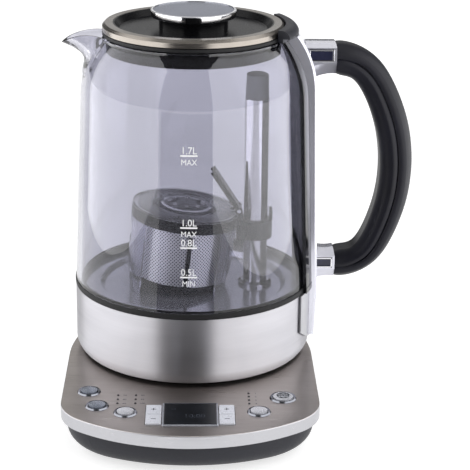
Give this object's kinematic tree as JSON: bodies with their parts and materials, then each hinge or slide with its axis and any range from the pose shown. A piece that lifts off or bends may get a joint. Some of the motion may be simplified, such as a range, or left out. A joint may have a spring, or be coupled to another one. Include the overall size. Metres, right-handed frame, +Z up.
{
  "type": "automatic tea maker",
  "caption": "Glass tea maker on a powered base: steel-banded jug with spout, looped handle and lift-off lid, and a tilted mesh basket that a magnetic post raises and lowers.",
  "frame": {"origin": "on the jug's upright axis, in the plane of the table under the rubber feet", "axes": "+Z up, +X from the jug's axis to the handle, -Y to the front with the controls"},
  "size_m": [0.2221, 0.2243, 0.2512],
  "materials": {
    "brushed_steel_plate": "brushed",
    "steel_band": "brushed",
    "steel_polished": "polished",
    "steel_mesh": "fine mesh",
    "chrome": "polished",
    "silver_cover": "satin",
    "aluminium": "satin",
    "dark_steel": "satin",
    "motor_metal": "satin",
    "contact_brass": "satin",
    "charcoal_plastic": "fine texture",
    "grip_plastic": "matte",
    "strip_plastic": "matte",
    "cap_plastic": "fine texture",
    "grey_plastic": "satin",
    "black_gloss": "gloss",
    "black_matte": "matte",
    "button_grey": "satin",
    "button_silver": "satin",
    "key_white": "satin",
    "display_frame": "satin",
    "display_glass": "gloss",
    "board_green": "satin",
    "lamp": "gloss",
    "jug_glass": "clear",
    "clear_plastic": "clear",
    "smoky_plastic": "frosted",
    "white_nylon": "matte",
    "knob_blue_grey": "satin",
    "rubber_black": "matte"
  },
  "bodies": {
    "base": {"base_plate": "brushed_steel_plate", "base_housing": "charcoal_plastic", "base_frame": "charcoal_plastic", "base_screws": "steel_polished", "rubber_feet": "rubber_black", "cord_gland": "rubber_black", "button_bezels": "chrome", "display_bezel": "display_frame", "display_window": "display_glass", "display_module": "black_matte", "control_board": "board_green", "push_switches": "black_matte", "indicator_lamps": "lamp", "base_hub": "black_gloss", "hub_ring": "black_matte", "hub_contacts": "contact_brass"},
    "jug_coupler": {"jug_socket": "black_matte"},
    "jug": {"glass_body": "jug_glass", "glass_seal": "rubber_black", "steel_band": "steel_band", "floor_plate": "steel_polished", "heating_element": "aluminium", "bottom_cover": "black_matte", "lift_motor": "motor_metal", "post_tube": "steel_polished", "post_foot": "steel_polished", "post_cap": "grey_plastic", "handle_saddle": "black_gloss", "foot_cover": "silver_cover", "handle_frame": "chrome", "handle_grip": "grip_plastic", "grip_strip": "strip_plastic", "handle_screws": "steel_polished", "handle_cap": "cap_plastic"},
    "basket": {"basket_rim": "black_gloss", "collar_magnet": "dark_steel", "mesh_cup": "steel_mesh", "basket_panels": "smoky_plastic", "basket_base": "black_gloss", "lid_hinge_pin": "steel_polished"},
    "basket_cover": {"basket_lid": "clear_plastic", "lid_tab": "black_gloss"},
    "drive_carriage": {"magnet_carriage": "white_nylon"},
    "drive_screw": {"lead_screw": "steel_polished"},
    "jug_lid": {"lid_ring": "steel_band", "lid_body": "black_gloss", "lid_gasket": "rubber_black", "lid_cover": "black_matte", "knob_pillar": "black_gloss", "knob_rim": "chrome", "knob_disc": "knob_blue_grey"},
    "temperature_button_body": {"temperature_button": "button_grey"},
    "warm_button_body": {"warm_button": "button_grey"},
    "select_button_body": {"select_button": "button_silver"},
    "brew_button_body": {"brew_button": "button_silver"},
    "start_button_body": {"start_button": "button_grey"},
    "hour_up_key_body": {"hour_up_key": "key_white"},
    "hour_down_key_body": {"hour_down_key": "key_white"},
    "heat_up_key_body": {"heat_up_key": "key_white"},
    "heat_down_key_body": {"heat_down_key": "key_white"}
  },
  "joints": [
    {"name": "temperature_button_press", "type": "slide", "parent": "base", "child": "temperature_button_body", "axis": [0, 0, -1], "range_m": [0, 0.0008], "stiffness_N_per_m": 150, "springref_m": -0.001},
    {"name": "warm_button_press", "type": "slide", "parent": "base", "child": "warm_button_body", "axis": [0, 0, -1], "range_m": [0, 0.0008], "stiffness_N_per_m": 150, "springref_m": -0.001},
    {"name": "select_button_press", "type": "slide", "parent": "base", "child": "select_button_body", "axis": [0, 0, -1], "range_m": [0, 0.0008], "stiffness_N_per_m": 150, "springref_m": -0.001},
    {"name": "brew_button_press", "type": "slide", "parent": "base", "child": "brew_button_body", "axis": [0, 0, -1], "range_m": [0, 0.0008], "stiffness_N_per_m": 150, "springref_m": -0.001},
    {"name": "start_button_press", "type": "slide", "parent": "base", "child": "start_button_body", "axis": [0, 0, -1], "range_m": [0, 0.0008], "stiffness_N_per_m": 150, "springref_m": -0.001},
    {"name": "hour_up_key_press", "type": "slide", "parent": "base", "child": "hour_up_key_body", "axis": [0, 0, -1], "range_m": [0, 0.0008], "stiffness_N_per_m": 150, "springref_m": -0.001},
    {"name": "hour_down_key_press", "type": "slide", "parent": "base", "child": "hour_down_key_body", "axis": [0, 0, -1], "range_m": [0, 0.0008], "stiffness_N_per_m": 150, "springref_m": -0.001},
    {"name": "heat_up_key_press", "type": "slide", "parent": "base", "child": "heat_up_key_body", "axis": [0, 0, -1], "range_m": [0, 0.0008], "stiffness_N_per_m": 150, "springref_m": -0.001},
    {"name": "heat_down_key_press", "type": "slide", "parent": "base", "child": "heat_down_key_body", "axis": [0, 0, -1], "range_m": [0, 0.0008], "stiffness_N_per_m": 150, "springref_m": -0.001},
    {"name": "jug_lift", "type": "slide", "parent": "base", "child": "jug_coupler", "axis": [0, 0, 1], "range_m": [0, 0.08]},
    {"name": "jug_swivel", "type": "hinge", "parent": "jug_coupler", "child": "jug", "pos_m": [0, 0, 0.03], "axis": [0, 0, 1], "continuous": true},
    {"name": "basket_lift", "type": "slide", "parent": "jug", "child": "basket", "axis": [0, 0, 1], "range_m": [0, 0.056]},
    {"name": "carriage_lift", "type": "slide", "parent": "jug", "child": "drive_carriage", "axis": [0, 0, 1], "range_m": [0, 0.056]},
    {"name": "screw_turn", "type": "hinge", "parent": "jug", "child": "drive_screw", "pos_m": [0.0405, 0, 0.1], "axis": [0, 0, 1], "range_deg": [0, 2520]},
    {"name": "basket_cover_hinge", "type": "hinge", "parent": "basket", "child": "basket_cover", "pos_m": [0.0296, 0, 0.1213], "axis": [0, 1, 0], "range_deg": [0, 33]},
    {"name": "jug_lid_lift", "type": "slide", "parent": "jug", "child": "jug_lid", "axis": [0, 0, 1], "range_m": [0, 0.04]}
  ],
  "couplings": [
    {"joint": "carriage_lift", "follows": "basket_lift", "ratio": 1},
    {"joint": "screw_turn", "follows": "basket_lift", "rad_per_m": 785.4}
  ]
}
